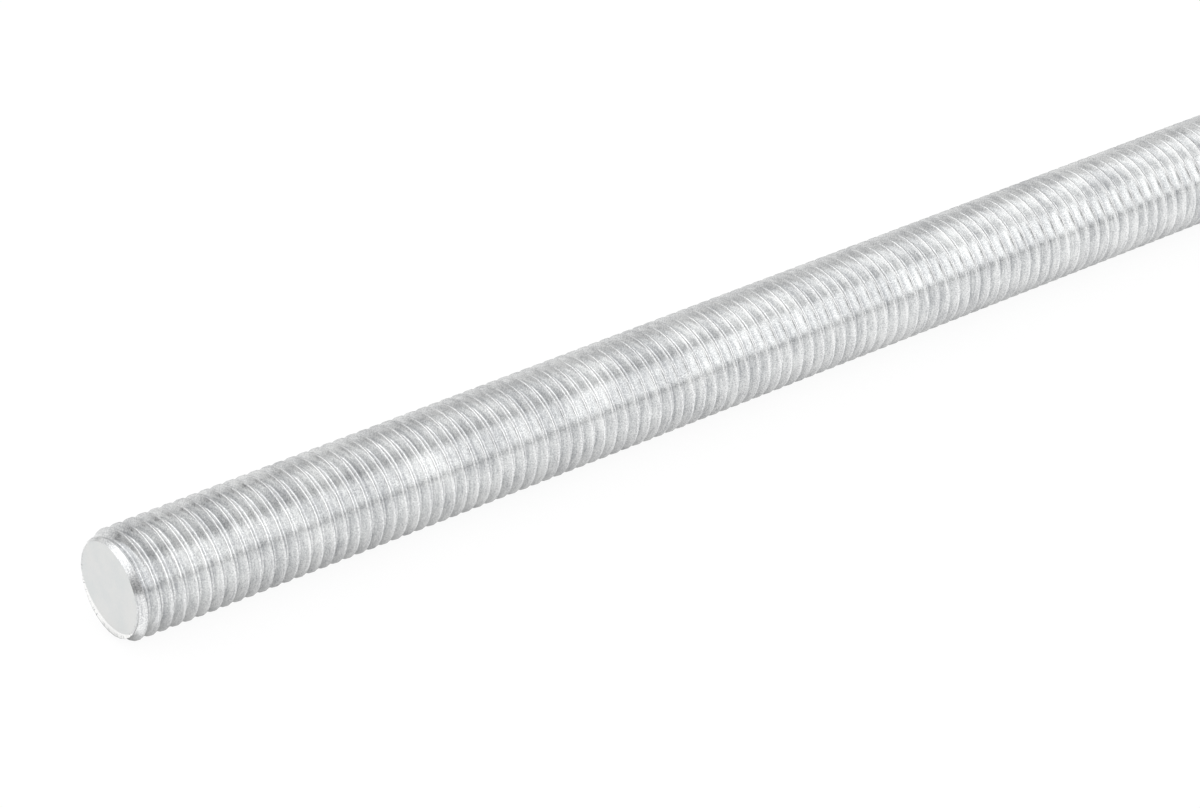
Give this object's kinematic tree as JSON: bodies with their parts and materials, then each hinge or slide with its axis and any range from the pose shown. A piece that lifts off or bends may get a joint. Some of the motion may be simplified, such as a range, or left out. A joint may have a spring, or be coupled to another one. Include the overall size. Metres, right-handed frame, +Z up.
{
  "type": "threaded rod",
  "caption": "Straight zinc-plated steel rod with a right-hand coarse metric thread over its whole length and a chamfer at each end.",
  "frame": {"origin": "middle of the rod, on its axis", "axes": "+X along the rod's axis, from its start to its end; the rod is round, so +Y and +Z are any two directions square to it, with +Z up"},
  "size_m": [1, 0.0158, 0.0158],
  "materials": {
    "zinc_steel": "pale bright zinc plating, with fine streaks along a rolled thread"
  },
  "bodies": {
    "root": {"threaded_rod": "zinc_steel"}
  },
  "joints": []
}
